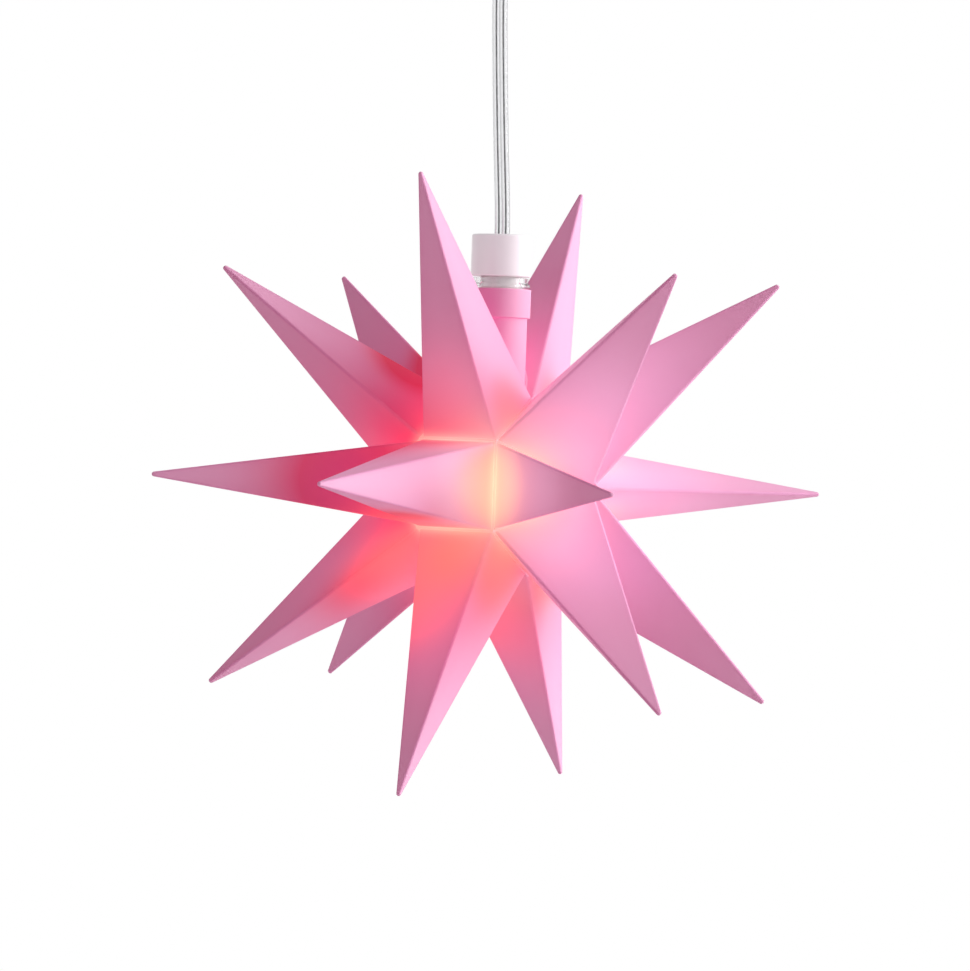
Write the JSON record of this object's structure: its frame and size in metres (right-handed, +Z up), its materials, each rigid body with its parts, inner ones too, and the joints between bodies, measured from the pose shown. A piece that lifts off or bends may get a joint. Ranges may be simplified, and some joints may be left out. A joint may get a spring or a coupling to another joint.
{
  "type": "led christmas star",
  "caption": "Hanging Christmas star of hollow pink plastic points round a hexagonal core, lit from inside by an LED on a flat twin cable, with a neck, white cap and ceiling cup.",
  "frame": {"origin": "middle of the ceiling plate's top face, on the axis of the star's neck", "axes": "+Z up, along the neck's axis; +X along the axis of the star's six-sided belt; -Y along the front belt point"},
  "size_m": [0.0868, 0.12, 0.179],
  "materials": {
    "pink_plastic": "satin, slightly translucent",
    "clear_plastic": "clear, glossy",
    "white_plastic": "satin",
    "milky_plastic": "satin",
    "clear_cable": "clear jacket over two stranded wires",
    "led_lens": "clear dome, lit",
    "tinned_wire": "tinned",
    "black_sleeve": "matte"
  },
  "bodies": {
    "ceiling": {"ceiling_plate": "white_plastic", "ceiling_cup": "white_plastic"},
    "grip": {"cord_grip": "white_plastic", "cable_knot": "clear_cable"},
    "pendant": {"cord": "clear_cable", "cap": "white_plastic", "strain_relief": "milky_plastic", "cable_tail": "clear_cable", "lamp_plug": "milky_plastic", "led_lens": "led_lens", "led_lead_plus": "tinned_wire", "led_lead_minus": "tinned_wire", "wire_plus": "clear_cable", "wire_minus": "clear_cable", "shrink_sleeve_plus": "black_sleeve", "shrink_sleeve_minus": "black_sleeve"},
    "seal": {"clear_seal": "clear_plastic"},
    "star": {"neck": "pink_plastic", "belt_point_front": "pink_plastic", "belt_point_front_upper": "pink_plastic", "belt_point_back_upper": "pink_plastic", "belt_point_back": "pink_plastic", "belt_point_back_lower": "pink_plastic", "belt_point_front_lower": "pink_plastic", "right_point_front": "pink_plastic", "right_point_front_upper": "pink_plastic", "right_point_back_upper": "pink_plastic", "right_point_back": "pink_plastic", "right_point_back_lower": "pink_plastic", "right_point_front_lower": "pink_plastic", "left_point_front": "pink_plastic", "left_point_front_upper": "pink_plastic", "left_point_back_upper": "pink_plastic", "left_point_back": "pink_plastic", "left_point_back_lower": "pink_plastic", "left_point_front_lower": "pink_plastic"}
  },
  "joints": [
    {"name": "swing_front_back", "type": "hinge", "parent": "ceiling", "child": "grip", "pos_m": [0, 0, -0.013], "axis": [1, 0, 0], "range_deg": [-30, 30]},
    {"name": "swing_side", "type": "hinge", "parent": "grip", "child": "pendant", "pos_m": [0, 0, -0.022], "axis": [0, 1, 0], "range_deg": [-30, 30]},
    {"name": "star_turn", "type": "hinge", "parent": "pendant", "child": "seal", "pos_m": [0, 0, -0.091], "axis": [0, 0, 1], "continuous": true},
    {"name": "star_pull", "type": "slide", "parent": "seal", "child": "star", "axis": [0, 0, -1], "range_m": [0, 0.04]}
  ]
}
